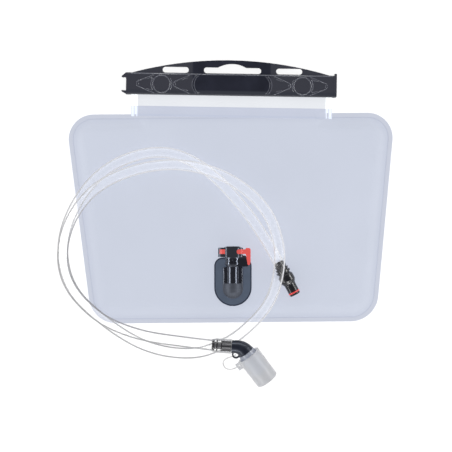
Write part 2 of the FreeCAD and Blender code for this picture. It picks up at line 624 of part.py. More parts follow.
def main():
    os.makedirs("parts", exist_ok=True)
    for name, build in NODES.items():
        shape = build()
        solids = shape.Solids
        whole = solids[0] if len(solids) == 1 else Part.makeCompound(solids)
        whole.exportStep(f"parts/{name}.step")
        low = whole.BoundBox
        print(f"{name}: solids {len(solids)} valid {whole.isValid()} volume {whole.Volume:.0f} "
              f"X {low.XMin:.1f}..{low.XMax:.1f} Y {low.YMin:.1f}..{low.YMax:.1f} Z {low.ZMin:.2f}..{low.ZMax:.2f}")


main()
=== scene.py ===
"""Looks for the hydration bladder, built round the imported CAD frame. Metres, +Z up, same axes as the CAD."""
import math

import bpy
import bmesh
import numpy as np
from mathutils import Matrix, Vector, geometry, noise


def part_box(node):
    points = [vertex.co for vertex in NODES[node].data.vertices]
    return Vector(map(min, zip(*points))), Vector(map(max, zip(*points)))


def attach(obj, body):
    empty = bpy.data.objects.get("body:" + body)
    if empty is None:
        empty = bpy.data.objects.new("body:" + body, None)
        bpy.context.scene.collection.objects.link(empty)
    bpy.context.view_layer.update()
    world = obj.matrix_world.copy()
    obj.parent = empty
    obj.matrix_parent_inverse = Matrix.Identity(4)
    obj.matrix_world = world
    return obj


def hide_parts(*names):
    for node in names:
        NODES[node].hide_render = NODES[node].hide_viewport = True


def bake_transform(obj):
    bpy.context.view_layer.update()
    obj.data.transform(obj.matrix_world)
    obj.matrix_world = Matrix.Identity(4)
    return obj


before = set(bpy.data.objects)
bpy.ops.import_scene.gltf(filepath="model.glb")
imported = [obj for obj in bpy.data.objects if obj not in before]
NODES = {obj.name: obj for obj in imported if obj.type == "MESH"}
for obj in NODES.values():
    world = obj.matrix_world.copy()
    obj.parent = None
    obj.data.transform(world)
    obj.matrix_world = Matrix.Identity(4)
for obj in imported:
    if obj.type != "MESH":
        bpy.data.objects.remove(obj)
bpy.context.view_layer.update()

MM = 0.001
SCENE = bpy.context.scene


# ---- camera -----------------------------------------------------------------------------------------------
CAMERA_PLACE = (-0.00416, -0.0298, 1.5)
CAMERA_LENS = 136.0     # millimetres, on a 36 mm sensor


def make_camera():
    """A camera straight above, square to the bag."""
    data = bpy.data.cameras.new("camera")
    data.sensor_width = 36
    data.lens = CAMERA_LENS
    camera = bpy.data.objects.new("camera", data)
    camera.location = CAMERA_PLACE
    SCENE.collection.objects.link(camera)
    SCENE.camera = camera


make_camera()


# ---- routes -----------------------------------------------------------------------------------------------
# The control points of the tube and of the tether, in millimetres, as in part.py. Under the connector two of
# the tube's points stand for part.py's one.
TUBE_ROUTE = [
    (41.35, -61.2, 10.5), (32.35, -44.0, 10.5), (9, -10, 8.9), (-22, 22, 8.9), (-59, 38, 8.9),
    (-103, 26, 8.9), (-132, -2, 8.2), (-149.5, -43, 5.1), (-142.5, -84, 5.6), (-111.5, -113.5, 6.6),
    (-74, -137, 5.1), (-33, -143, 5.0), (-6, -133.5, 5.0), (10, -123.5, 6.2), (33, -100, 12.0),
    (41.5, -74, 23.4), (43, -46, 23.4), (31, -13, 11.5), (-1, 13, 19.0), (-42, 25, 19.0), (-83, 21, 9.6),
    (-121, 3, 18.2), (-145.5, -33, 15.9), (-147, -75.5, 15.2), (-118, -109, 17.4), (-81, -125, 14.8),
    (-39, -131, 12.6), (-17.3, -133.2, 16.4),
]
TETHER_ROUTE = [
    (4.0, -141.8, 17.6), (3.9, -142.0, 12.4), (2.0, -143.6, 8.2), (-3.8, -145.6, 5.2), (-7.2, -148.8, 2.6),
    (-5.6, -154.2, 1.0), (-1.0, -156.0, 1.6), (3.6, -154.4, 5.4), (6.9, -151.9, 10.4), (7.05, -151.6, 16.6),
]
TUBE_R = 4.8
TETHER_R = 0.55


def spline_points(name, route, resolution):
    """Points along the smooth NURBS curve that a route in millimetres controls, in metres."""
    curve = bpy.data.curves.new(name, "CURVE")
    curve.dimensions = "3D"
    spline = curve.splines.new("NURBS")
    spline.points.add(len(route) - 1)
    for point, place in zip(spline.points, route):
        point.co = (*(c * MM for c in place), 1)
    spline.order_u = 3
    spline.use_endpoint_u = True
    spline.resolution_u = resolution
    holder = bpy.data.objects.new(name, curve)
    SCENE.collection.objects.link(holder)
    bpy.context.view_layer.update()
    mesh = bpy.data.meshes.new_from_object(holder)
    points = [v.co.copy() for v in mesh.vertices]
    bpy.data.objects.remove(holder)
    bpy.data.meshes.remove(mesh)
    bpy.data.curves.remove(curve)
    return points


def add_mesh(name, verts, faces, smooth=True):
    """A mesh object from vertices in metres."""
    mesh = bpy.data.meshes.new(name)
    mesh.from_pydata([tuple(v) for v in verts], [], faces)
    mesh.validate()
    mesh.update()
    if smooth:
        mesh.polygons.foreach_set("use_smooth", [True] * len(mesh.polygons))
    piece = bpy.data.objects.new(name, mesh)
    SCENE.collection.objects.link(piece)
    return piece


def sweep(name, path, radii, sides, closed=False):
    """A round bar along a path, with flat ends, or joined end to end."""
    count = len(path)
    tangents = []
    for i in range(count):
        back = path[i - 1] if closed else path[max(i - 1, 0)]
        on = path[(i + 1) % count] if closed else path[min(i + 1, count - 1)]
        tangents.append((on - back).normalized())
    across = tangents[0].orthogonal().normalized()
    verts = []
    faces = []
    for i, (centre, along) in enumerate(zip(path, tangents)):
        if i:
            across = tangents[i - 1].rotation_difference(along) @ across
        across = (across - along * across.dot(along)).normalized()
        upward = along.cross(across)
        for k in range(sides):
            t = 2 * math.pi * k / sides
            verts.append(centre + (across * math.cos(t) + upward * math.sin(t)) * radii[i])
    for i in range(count if closed else count - 1):
        here = i * sides
        on = (i + 1) % count * sides
        for k in range(sides):
            n = (k + 1) % sides
            faces.append([here + k, here + n, on + n, on + k])
    if not closed:
        last = (count - 1) * sides
        faces.append([k for k in range(sides)][::-1])
        faces.append([last + k for k in range(sides)])
    return add_mesh(name, verts, faces)


# ---- materials --------------------------------------------------------------------------------------------
def material(name, colour, rough, vary=0.06, scale=60.0, grain=0.0, grain_scale=900.0, rough_vary=0.08,
             **sockets):
    """A Principled material whose colour and roughness drift slowly, with a fine grain in its surface."""
    mat = bpy.data.materials.new(name)
    mat.use_nodes = True
    tree = mat.node_tree
    shader = tree.nodes["Principled BSDF"]
    place = tree.nodes.new("ShaderNodeTexCoord")
    drift = tree.nodes.new("ShaderNodeTexNoise")
    drift.inputs["Scale"].default_value = scale
    drift.inputs["Detail"].default_value = 5
    tree.links.new(place.outputs["Object"], drift.inputs["Vector"])
    ramp = tree.nodes.new("ShaderNodeValToRGB")
    low, high = ramp.color_ramp.elements
    low.position, high.position = 0.3, 0.7
    low.color = (*(c * (1 - vary) for c in colour), 1)
    high.color = (*(min(1, c * (1 + vary)) for c in colour), 1)
    tree.links.new(drift.outputs["Fac"], ramp.inputs["Fac"])
    tree.links.new(ramp.outputs["Color"], shader.inputs["Base Color"])
    spread = tree.nodes.new("ShaderNodeMapRange")
    spread.inputs["To Min"].default_value = max(0, rough - rough_vary)
    spread.inputs["To Max"].default_value = rough + rough_vary
    tree.links.new(drift.outputs["Fac"], spread.inputs["Value"])
    tree.links.new(spread.outputs["Result"], shader.inputs["Roughness"])
    if grain:
        fine = tree.nodes.new("ShaderNodeTexNoise")
        fine.inputs["Scale"].default_value = grain_scale
        fine.inputs["Detail"].default_value = 3
        tree.links.new(place.outputs["Object"], fine.inputs["Vector"])
        bump = tree.nodes.new("ShaderNodeBump")
        bump.inputs["Strength"].default_value = grain
        bump.inputs["Distance"].default_value = 0.0004
        tree.links.new(fine.outputs["Fac"], bump.inputs["Height"])
        tree.links.new(bump.outputs["Normal"], shader.inputs["Normal"])
    for key, value in sockets.items():
        shader.inputs[key.replace("_", " ")].default_value = value
    return mat


def colour_ramp(tree, value, span, stops):
    """A colour ramp over a value in millimetres, from pairs of a place within the span and a colour."""
    spread = tree.nodes.new("ShaderNodeMapRange")
    spread.inputs["From Min"].default_value, spread.inputs["From Max"].default_value = span
    tree.links.new(value, spread.inputs["Value"])
    ramp = tree.nodes.new("ShaderNodeValToRGB")
    while len(ramp.color_ramp.elements) < len(stops):
        ramp.color_ramp.elements.new(0.5)
    for element, (place, tint) in zip(ramp.color_ramp.elements, stops):
        element.position = (place - span[0]) / (span[1] - span[0])
        element.color = (*tint, 1)
    tree.links.new(spread.outputs["Result"], ramp.inputs["Fac"])
    return ramp.outputs["Color"]


def band_tint(mat, attribute, span, stops):
    """Multiplies a material's colour by a ramp over a value that the mesh stores, in millimetres."""
    tree = mat.node_tree
    shader = tree.nodes["Principled BSDF"]
    source = shader.inputs["Base Color"].links[0].from_socket
    reader = tree.nodes.new("ShaderNodeAttribute")
    reader.attribute_name = attribute
    blend = tree.nodes.new("ShaderNodeMix")
    blend.data_type = "RGBA"
    blend.blend_type = "MULTIPLY"
    blend.inputs["Factor"].default_value = 1
    tree.links.new(source, blend.inputs["A"])
    tree.links.new(colour_ramp(tree, reader.outputs["Fac"], span, stops), blend.inputs["B"])
    tree.links.new(blend.outputs["Result"], shader.inputs["Base Color"])
    return mat


# The node that paints the grey shade at a glassy material's edges.
PAINTED_EDGE_SHADE = "edge line"


def glassy(mat, clear, edge, edge_shade_colour, edge_from, edge_to, gloss=0.04, gloss_rough=0.08):
    """Makes a material see-through face on, with a grey line of painted shade at its edges, where real glass
    bends the light, and a clean gloss over it.
    """
    tree = mat.node_tree
    haze = tree.nodes["Principled BSDF"]
    haze.inputs["Alpha"].default_value = clear
    facing = tree.nodes.new("ShaderNodeLayerWeight")
    facing.inputs["Blend"].default_value = 0.5
    bend = tree.nodes.new("ShaderNodeMapRange")
    bend.interpolation_type = "SMOOTHSTEP"
    bend.inputs["From Min"].default_value = edge_from
    bend.inputs["From Max"].default_value = edge_to
    tree.links.new(facing.outputs["Facing"], bend.inputs["Value"])
    line = tree.nodes.new("ShaderNodeBsdfPrincipled")
    line.name = PAINTED_EDGE_SHADE
    line.inputs["Base Color"].default_value = (*edge_shade_colour, 1)
    line.inputs["Roughness"].default_value = 0.3
    line.inputs["Alpha"].default_value = edge
    body = tree.nodes.new("ShaderNodeMixShader")
    tree.links.new(bend.outputs["Result"], body.inputs["Fac"])
    tree.links.new(haze.outputs["BSDF"], body.inputs[1])
    tree.links.new(line.outputs["BSDF"], body.inputs[2])
    shine = tree.nodes.new("ShaderNodeBsdfGlossy")
    shine.inputs["Roughness"].default_value = gloss_rough
    top = tree.nodes.new("ShaderNodeMixShader")
    top.inputs["Fac"].default_value = gloss
    tree.links.new(body.outputs["Shader"], top.inputs[1])
    tree.links.new(shine.outputs["BSDF"], top.inputs[2])
    tree.links.new(top.outputs["Shader"], tree.nodes["Material Output"].inputs["Surface"])
    return mat


def against_axis(mat, origin, axis, operation):
    """The vector from an origin to the surface point, set against an axis; origin in millimetres."""
    tree = mat.node_tree
    place = tree.nodes.new("ShaderNodeTexCoord")
    shift = tree.nodes.new("ShaderNodeVectorMath")
    shift.operation = "SUBTRACT"
    shift.inputs[1].default_value = Vector(origin) * MM
    tree.links.new(place.outputs["Object"], shift.inputs[0])
    product = tree.nodes.new("ShaderNodeVectorMath")
    product.operation = operation
    product.inputs[1].default_value = Vector(axis) / MM
    tree.links.new(shift.outputs["Vector"], product.inputs[0])
    return product


def from_axis(mat, origin, axis):
    """How far a surface point is from an axis, in millimetres."""
    tree = mat.node_tree
    size = tree.nodes.new("ShaderNodeVectorMath")
    size.operation = "LENGTH"
    tree.links.new(against_axis(mat, origin, axis, "CROSS_PRODUCT").outputs["Vector"], size.inputs[0])
    return size.outputs["Value"]


def along_axis(mat, origin, axis):
    """How far a surface point is from an origin along an axis, in millimetres."""
    return against_axis(mat, origin, axis, "DOT_PRODUCT").outputs["Value"]


def magnitude(mat, value):
    """A value without its sign."""
    tree = mat.node_tree
    size = tree.nodes.new("ShaderNodeMath")
    size.operation = "ABSOLUTE"
    tree.links.new(value, size.inputs[0])
    return size.outputs["Value"]


def zone(mat, value, start, end, colour, rough):
    """Turns a material to another colour and roughness where a value passes from start to end."""
    tree = mat.node_tree
    shader = tree.nodes["Principled BSDF"]
    share = tree.nodes.new("ShaderNodeMapRange")
    share.inputs["From Min"].default_value = start
    share.inputs["From Max"].default_value = end
    tree.links.new(value, share.inputs["Value"])
    tint = tree.nodes.new("ShaderNodeMix")
    tint.data_type = "RGBA"
    tree.links.new(share.outputs["Result"], tint.inputs["Factor"])
    tree.links.new(shader.inputs["Base Color"].links[0].from_socket, tint.inputs["A"])
    tint.inputs["B"].default_value = (*colour, 1)
    tree.links.new(tint.outputs["Result"], shader.inputs["Base Color"])
    matt = tree.nodes.new("ShaderNodeMix")
    tree.links.new(share.outputs["Result"], matt.inputs["Factor"])
    tree.links.new(shader.inputs["Roughness"].links[0].from_socket, matt.inputs["A"])
    matt.inputs["B"].default_value = rough
    tree.links.new(matt.outputs["Result"], shader.inputs["Roughness"])


def shade_edges(mat, direction, span, stops):
    """Grades a glassy material's painted edge shade along a direction, from pairs of a place and a grey."""
    tree = mat.node_tree
    tints = [(place, (grey, grey, grey * 1.03)) for place, grey in stops]
    shade = colour_ramp(tree, along_axis(mat, (0, 0, 0), direction), span, tints)
    tree.links.new(shade, tree.nodes[PAINTED_EDGE_SHADE].inputs["Base Color"])


FILM_COLOUR = (0.359, 0.382, 0.449)
FILM = band_tint(
    material("film", FILM_COLOUR, 0.42, vary=0.012, scale=14, grain=0.08, grain_scale=500,
             Specular_IOR_Level=0.3),
    "inset", (0, 10),
    [(0.0, (0.92, 0.92, 0.94)), (0.6, (0.99, 0.98, 0.96)), (3.3, (0.98, 0.97, 0.96)),
     (3.9, (0.84, 0.85, 0.88)), (4.6, (0.98, 0.98, 0.98)), (9.0, (1.02, 1.02, 1.01))])
# From 9.6 mm below the bar up, the neck is painted much lighter: a painted highlight where the film curves up
# to the bar.
NECK_FILM = band_tint(
    material("neck_film", FILM_COLOUR, 0.35, vary=0.012, scale=40, grain=0.06, grain_scale=300,
             Specular_IOR_Level=0.3),
    "rise", (-22, 0),
    [(-20.0, (1.6, 1.6, 1.57)), (-17.3, (1.48, 1.51, 1.52)), (-16.6, (1.58, 1.58, 1.55)),
     (-10.6, (1.6, 1.6, 1.57)), (-10.2, (1.42, 1.42, 1.44)), (-9.6, (2.25, 2.17, 1.88)),
     (-2.0, (2.25, 2.17, 1.88))])
band_tint(
    NECK_FILM, "side", (0, 8),
    [(0.0, (0.66, 0.66, 0.66)), (0.6, (1.0, 1.0, 1.0)), (2.4, (1.0, 1.0, 1.0)), (2.9, (0.72, 0.72, 0.73)),
     (3.4, (1.0, 1.0, 1.0)), (5.2, (1.0, 1.0, 1.0)), (5.8, (0.7, 0.7, 0.71)), (6.4, (0.62, 0.62, 0.64))])

CLOSURE = material("closure", (0.008, 0.009, 0.016), 0.32, vary=0.2, scale=90, grain=0.15, grain_scale=1800,
                   Specular_IOR_Level=0.35)
bar_middle = magnitude(CLOSURE, along_axis(CLOSURE, (0.5, 84.1, 0), (1, -0.0166, 0)))
zone(CLOSURE, bar_middle, 33.8, 34.4, (0.018, 0.019, 0.027), 0.45)
# Below 4 mm up from its lower edge the bar is painted lighter and rougher: a painted highlight on its rounded
# lower edge.
highlight_band_height = along_axis(CLOSURE, (0.3, 84.1, 0), (0.0166, 1, 0))
zone(CLOSURE, highlight_band_height, 4.4, 3.6, (0.016, 0.018, 0.026), 0.4)
# The raised lines are painted lighter than the bar: a painted highlight where they catch the light.
RELIEF_HIGHLIGHT = material("relief", (0.055, 0.058, 0.074), 0.25, vary=0.15, scale=300, Specular_IOR_Level=0.7)

FLANGE = material("flange", (0.038, 0.052, 0.079), 0.5, vary=0.08, scale=120, grain=0.25, grain_scale=1400)
FLANGE_EDGE = material("flange_edge", (0.009, 0.015, 0.031), 0.55, vary=0.1, scale=200,
                       Specular_IOR_Level=0.25)
PORT = material("port", (0.004, 0.004, 0.006), 0.085, vary=0.2, scale=150, rough_vary=0.03,
                Specular_IOR_Level=1.0, Specular_Tint=(0.74, 0.82, 1.0, 1))
# The dome below the barrel and the collar above it are duller than the barrel.
zone(PORT, along_axis(PORT, (0, 0, 0), (0, -1, 0)), 79.4, 79.8, (0.005, 0.005, 0.007), 0.62)
zone(PORT, along_axis(PORT, (0, 0, 0), (0, 1, 0)), -58.2, -57.8, (0.004, 0.004, 0.006), 0.38)
PLUG = material("plug", (0.005, 0.005, 0.007), 0.25, vary=0.2, scale=150, grain=0.05, grain_scale=1500)
LATCH = material("latch", (0.46, 0.062, 0.055), 0.32, vary=0.05, scale=200, grain=0.1, grain_scale=1800)
STEEL = material("steel", (0.6, 0.6, 0.6), 0.22, vary=0.1, scale=400, Metallic=1.0)
SEAL = material("seal", (0.02, 0.02, 0.02), 0.45, vary=0.2, scale=300, grain=0.2)
RED_SEAL = material("red_seal", (0.50, 0.03, 0.03), 0.3, vary=0.08, scale=300, grain=0.2)

TUBE = glassy(material("tube", (0.92, 0.93, 0.94), 0.3, vary=0.02, scale=60), 0.045, 0.9,
              (0.15, 0.15, 0.15), 0.22, 0.52, gloss=0.01, gloss_rough=0.3)
# The tube's painted edge shade is darker towards the lower left.
shade_edges(TUBE, (1, 1.2, 0), (-240, 50),
            [(-205, 0.19), (-170, 0.26), (-130, 0.31), (-90, 0.40), (50, 0.50)])
# The tube looks darker where it holds the plug's tail and the connector.
zone(TUBE, from_axis(TUBE, (43.5, -67.5, 0), (0, 0, 1)), 10.0, 7.5, (0.22, 0.22, 0.23), 0.3)
zone(TUBE, from_axis(TUBE, (-8.5, -133.8, 0), (0, 0, 1)), 12.0, 9.5, (0.3, 0.3, 0.31), 0.3)
BITE = material("bite", (0.004, 0.005, 0.010), 0.34, vary=0.2, scale=150, grain=0.05, grain_scale=1500,
                Specular_IOR_Level=0.5, Specular_Tint=(0.78, 0.85, 1.0, 1))
CONNECTOR = material("connector", (0.004, 0.004, 0.006), 0.2, vary=0.2, scale=150, Specular_IOR_Level=0.4)
# Between the ribs the connector's core is painted grey: a painted highlight for the glints seen between the
# ribs.
zone(CONNECTOR, from_axis(CONNECTOR, (0.7, -134.5, 16.4), (0.99756, -0.06976, 0)), 3.9, 3.6,
     (0.05, 0.05, 0.055), 0.2)
CLEAR = glassy(material("clear_plastic", (0.18, 0.193, 0.23), 0.4, vary=0.02, scale=60), 0.75, 0.9,
               (0.10, 0.11, 0.15), 0.4, 0.9, gloss=0.015, gloss_rough=0.25)
TETHER = material("tether", (0.36, 0.36, 0.36), 0.35, vary=0.05, scale=200, Alpha=0.7)
SILICONE = material("silicone", (0.30, 0.36, 0.46), 0.4, vary=0.05, scale=150, grain=0.1)
CAP = glassy(material("cap", (0.29, 0.295, 0.31), 0.5, vary=0.03, scale=120, grain=0.05, grain_scale=700),
             0.62, 0.95, (0.30, 0.30, 0.30), 0.6, 1.0, gloss=0.01, gloss_rough=0.3)

CAD_MATERIALS = {
    "slide_bar": CLOSURE, "back_rail": CLOSURE, "front_rail": CLOSURE, "port_flange": FLANGE,
    "port_housing": PORT, "release_latch": LATCH, "valve_poppet": PORT, "poppet_seal": SEAL,
    "quick_plug": PLUG, "plug_oring": RED_SEAL, "bite_connector": CONNECTOR, "swivel_oring": SEAL,
    "bite_elbow": BITE, "valve_core": CLEAR, "mouthpiece": SILICONE, "dust_cap": CAP,
}


def paint(piece, mat):
    """Gives a piece, or a CAD node, one material."""
    piece.data.materials.clear()
    piece.data.materials.append(mat)


def paint_nodes():
    """Gives each carried-over CAD node its material."""
    for name, mat in CAD_MATERIALS.items():
        node = NODES[name]
        if not node.material_slots:
            node.data.materials.append(mat)
        for entry in node.material_slots:
            entry.material = mat


paint_nodes()


# ---- tube and tether --------------------------------------------------------------------------------------
TUBE_END = (0.7, -134.5, 16.4)
CONNECTOR_TURN = math.radians(-4)
# The tube's end as it stretches over the connector's rings: the distance back from its end, and its radius.
SLEEVE = [
    (18.2, 4.8), (17.2, 5.2), (16.4, 5.7), (15.2, 5.8), (14.4, 5.85), (13.4, 6.25), (12.2, 6.3),
    (11.0, 6.15), (9.6, 6.3), (8.2, 6.25), (6.0, 6.15), (3.0, 6.2), (0.7, 6.25), (0.2, 6.0),
]
SLEEVE_GAP = 1.3        # the least run from the route's last point to the sleeve's first


def make_tube():
    """The clear tube, with its far end stretched over the connector's rings."""
    path = spline_points("tube_line", TUBE_ROUTE, 14)
    end = Vector(TUBE_END) * MM
    along = Vector((math.cos(CONNECTOR_TURN), math.sin(CONNECTOR_TURN), 0))
    start = end - along * SLEEVE[0][0] * MM
    while (path[-1] - start).dot(along) > -SLEEVE_GAP * MM:
        path.pop()
    radii = [TUBE_R] * len(path)
    for back, radius in SLEEVE:
        path.append(end - along * back * MM)
        radii.append(radius)
    tube = sweep("tube", path, [r * MM for r in radii], 48)
    paint(tube, TUBE)
    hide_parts("drinking_tube")
    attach(tube, "hose")


def make_tether():
    """The thin strap from the elbow's eyelet to the cap's tab."""
    path = spline_points("tether_line", TETHER_ROUTE, 10)
    tether = sweep("tether", path, [TETHER_R * MM] * len(path), 14)
    paint(tether, TETHER)
    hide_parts("cap_tether")
    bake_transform(tether)


make_tube()
make_tether()


# ---- springs ----------------------------------------------------------------------------------------------
def make_spring(name):
    """A copy of a CAD spring in its place, painted steel, which hides the node."""
    mesh = NODES[name].data.copy()
    mesh.transform(NODES[name].matrix_world)
    spring = bpy.data.objects.new(f"{name}_coil", mesh)
    SCENE.collection.objects.link(spring)
    paint(spring, STEEL)
    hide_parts(name)
    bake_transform(spring)


make_spring("latch_spring")
make_spring("poppet_spring")


# ---- bag --------------------------------------------------------------------------------------------------
BAG_CORNERS = [(-145.2, 67.9), (144.2, 69.7), (127.5, -113.3), (-121.7, -115.5)]
BAG_RADII = [21.9, 21.9, 24.5, 24.5]
RIM = 4.4               # the weld's width
ARC_STEPS = 26          # points round each of the bag's corners
BAR_ORIGIN = Vector((0.3, 84.1, 0))
BAR_TURN = math.radians(-0.95)
NECK_U = (-87.6, 88.7)  # the neck's sides, along the bar
NECK_TOP = 10.5         # how far up the bar's own frame the neck reaches


def outline(step=2.0):
    """Points round the bag's edge with their inward normals, in millimetres."""
    result = []
    count = len(BAG_CORNERS)
    arcs = []
    for i in range(count):
        here = Vector(BAG_CORNERS[i])
        back = (Vector(BAG_CORNERS[i - 1]) - here).normalized()
        on = (Vector(BAG_CORNERS[(i + 1) % count]) - here).normalized()
        half = back.angle(on) / 2
        reach = BAG_RADII[i] / math.tan(half)
        centre = here + (back + on).normalized() * (BAG_RADII[i] / math.sin(half))
        arcs.append((here + back * reach, here + on * reach, centre, BAG_RADII[i], math.pi - 2 * half))
    for i in range(count):
        start, end, centre, radius, turn = arcs[i]
        first = math.atan2(start.y - centre.y, start.x - centre.x)
        for k in range(ARC_STEPS):
            a = first - turn * k / ARC_STEPS
            spoke = Vector((math.cos(a), math.sin(a)))
            result.append((centre + spoke * radius, -spoke))
        target = arcs[(i + 1) % count][0]
        side = target - end
        inward = Vector((side.y, -side.x)).normalized()
        steps = max(2, round(side.length / step))
        for k in range(steps):
            result.append((end + side * (k / steps), inward))
    return result


EDGE = outline()
EDGE_XY = np.array([tuple(p) for p, n in EDGE])


def fill_outline(insets, pitch):
    """Flat points and triangles over the bag, in rings and then an even grid, and each point's inset."""
    flat = []
    depth = []
    ring = len(EDGE)
    edges = []
    for inset in insets:
        base = len(flat)
        for point, inward in EDGE:
            flat.append(point + inward * inset)
            depth.append(inset)
        edges += [(base + k, base + (k + 1) % ring) for k in range(ring)]
    xs = np.arange(-150, 150, pitch)
    ys = np.arange(-120, 75, pitch)
    for row, y in enumerate(ys):
        for x in xs + (pitch / 2 if row % 2 else 0):
            if not inside(x, y, insets[-1] + pitch * 0.6):
                continue
            flat.append(Vector((x, y)))
            depth.append(float(np.min(np.hypot(EDGE_XY[:, 0] - x, EDGE_XY[:, 1] - y))))
    verts, _, faces, origins, _, _ = geometry.delaunay_2d_cdt(flat, edges, [], 0, 1e-5)
    depths = [depth[o[0]] for o in origins]
    return verts, faces, depths


def inside(x, y, margin):
    """True if a point is at least margin inside the bag's straight sides and round corners."""
    count = len(BAG_CORNERS)
    for i in range(count):
        a = Vector(BAG_CORNERS[i])
        b = Vector(BAG_CORNERS[(i + 1) % count])
        side = (b - a).normalized()
        if (x - a.x) * side.y - (y - a.y) * side.x < margin:
            return False
    return float(np.min(np.hypot(EDGE_XY[:, 0] - x, EDGE_XY[:, 1] - y))) > margin


def film_shell(name, height, thick, insets, pitch):
    """A film over the whole bag, its upper face at height(x, y, inset), all in millimetres."""
    verts, faces, depths = fill_outline(insets, pitch)
    top = [Vector((v.x, v.y, height(v.x, v.y, d))) * MM for v, d in zip(verts, depths)]
    low = [Vector((p.x, p.y, p.z - thick * MM)) for p in top]
    count = len(top)
    tris = []
    for f in faces:
        if all(depths[i] == 0 for i in f):
            continue
        a, b, c = (verts[i] for i in f)
        faces_up = (b.x - a.x) * (c.y - a.y) - (b.y - a.y) * (c.x - a.x) > 0
        f = list(f) if faces_up else list(f)[::-1]
        tris.append(f)
        tris.append([i + count for i in f[::-1]])
    rim = [i for i, d in enumerate(depths) if d == 0]
    centre = Vector((0, -20))
    rim.sort(key=lambda i: math.atan2(verts[i].y - centre.y, verts[i].x - centre.x))
    for k, i in enumerate(rim):
        j = rim[(k + 1) % len(rim)]
        tris.append([i, i + count, j + count, j])
    film = add_mesh(name, top + low, tris)
    store(film, "inset", depths + depths)
    return film


def store(piece, name, values):
    """Keeps one number for each vertex, for the material to read."""
    layer = piece.data.attributes.new(name, "FLOAT", "POINT")
    layer.data.foreach_set("value", values)


def ripple(x, y, scale, seed):
    """Smooth noise over the film, from -1 to 1, with waves about scale millimetres long."""
    return noise.noise(Vector((x / scale, y / scale, seed)))


def in_bar(x, y):
    """A place in millimetres as U along the bar and W up from its lower edge."""
    c, s = math.cos(BAR_TURN), math.sin(BAR_TURN)
    dx, dy = x - BAR_ORIGIN.x, y - BAR_ORIGIN.y
    return dx * c + dy * s, dy * c - dx * s


def smooth(t):
    """Turns 0 to 1 into an eased 0 to 1, level at both ends."""
    t = min(1, max(0, t))
    return t * t * (3 - 2 * t)


def rim_profile(edge):
    """Height that the weld adds or takes near the edge: a bead at the cut and a pressed groove inside."""
    return 0.06 * math.exp(-((edge - 0.4) / 0.4) ** 2) - 0.16 * math.exp(-((edge - 3.9) / 0.45) ** 2)


def film_height(x, y, inset):
    """The front film's upper face, over the bag and up the neck; inset is from the bag's edge."""
    u, w = in_bar(x, y)
    side = min(u - NECK_U[0], NECK_U[1] - u)
    edge = max(inset, side) if w > -45 else inset
    climb = smooth((w + 14) / 11)
    open_z = 3.5 + 0.9 * climb
    weld_z = 1.0 + 3.4 * climb
    free = smooth((edge - 6) / 25) * (1 - climb)
    z = weld_z + (open_z - weld_z) * smooth((edge - RIM) / 11.6) + rim_profile(edge)
    z += free * (0.34 * ripple(x, y, 60, 1.3) + 0.12 * ripple(x, y, 22, 7.1) - 0.2)
    return z


INSETS = [0, 0.35, 0.8, 1.6, 2.6, 3.3, 3.7, 4.0, 4.3, 4.8, 5.6, 6.8, 8.4, 10.4, 12.8, 15.6]
BACK_INSETS = [0, 0.35, 4.4, 10]


def finish_film(film, node):
    """Paints a film, hides the CAD node it stands for and hangs it on the bladder."""
    paint(film, FILM)
    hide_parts(node)
    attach(film, "bladder")


finish_film(film_shell("front_skin", film_height, 0.4, INSETS, 3.0), "front_film")
finish_film(film_shell("back_skin", lambda x, y, inset: 0.5, 0.45, BACK_INSETS, 8.0), "back_film")


def from_bar(u, w, z):
    """The place, in metres, of U along the bar, W up from its lower edge and Z, which are in millimetres."""
    c, s = math.cos(BAR_TURN), math.sin(BAR_TURN)
    return Vector((BAR_ORIGIN.x + u * c - w * s, BAR_ORIGIN.y + u * s + w * c, z)) * MM


def neck_skin(name, height, first, thick=0.35):
    """One film's neck, from inside the bag's edge up into the bar; height is that of its upper face."""
    rows = 60
    columns = 190
    grid = []
    for i in range(rows + 1):
        w = first + (NECK_TOP - first) * i / rows
        for k in range(columns + 1):
            t = k / columns
            u = NECK_U[0] + (NECK_U[1] - NECK_U[0]) * t
            place = from_bar(u, w, 0) / MM
            grid.append((u, w, height(place.x, place.y)))
    verts = [from_bar(u, w, z) for u, w, z in grid] + [from_bar(u, w, z - thick) for u, w, z in grid]
    count = len(grid)
    line = columns + 1
    faces = []
    for i in range(rows):
        for k in range(columns):
            a = i * line + k
            quad = [a, a + 1, a + 1 + line, a + line]
            faces.append(quad)
            faces.append([q + count for q in quad[::-1]])
    border = [k for k in range(line)] + [i * line + columns for i in range(1, rows + 1)]
    border += [rows * line + k for k in range(columns - 1, -1, -1)]
    border += [i * line for i in range(rows - 1, 0, -1)]
    for k, i in enumerate(border):
        j = border[(k + 1) % len(border)]
        faces.append([j, i, i + count, j + count])
    skin = add_mesh(name, verts, faces)
    store(skin, "rise", [w for u, w, z in grid] * 2)
    store(skin, "side", [min(u - NECK_U[0], NECK_U[1] - u) for u, w, z in grid] * 2)
    paint(skin, NECK_FILM)
    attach(skin, "bladder")


def front_neck_height(x, y):
    """The front film's face, and a hair over it, so that the two skins don't share a face."""
    return film_height(x, y, 0) + 0.03


def back_neck_height(x, y):
    """The back film's face, climbing to the rails inside the bar."""
    w = in_bar(x, y)[1]
    return 0.5 + 3.4 * smooth((w + 14) / 11)


neck_skin("front_neck", front_neck_height, -19.0)
neck_skin("back_neck", back_neck_height, -18.0)


# ---- moulded lines on the bar, and the flange's edge -------------------------------------------------------
FACE_Z = 8.05           # the bar's front face
FACE_MID = 9.3          # the middle of the face, up from the bar's lower edge
RINGS = (-61.1, 62.3)   # the rings' centres, along the bar
RING_R = 7.6


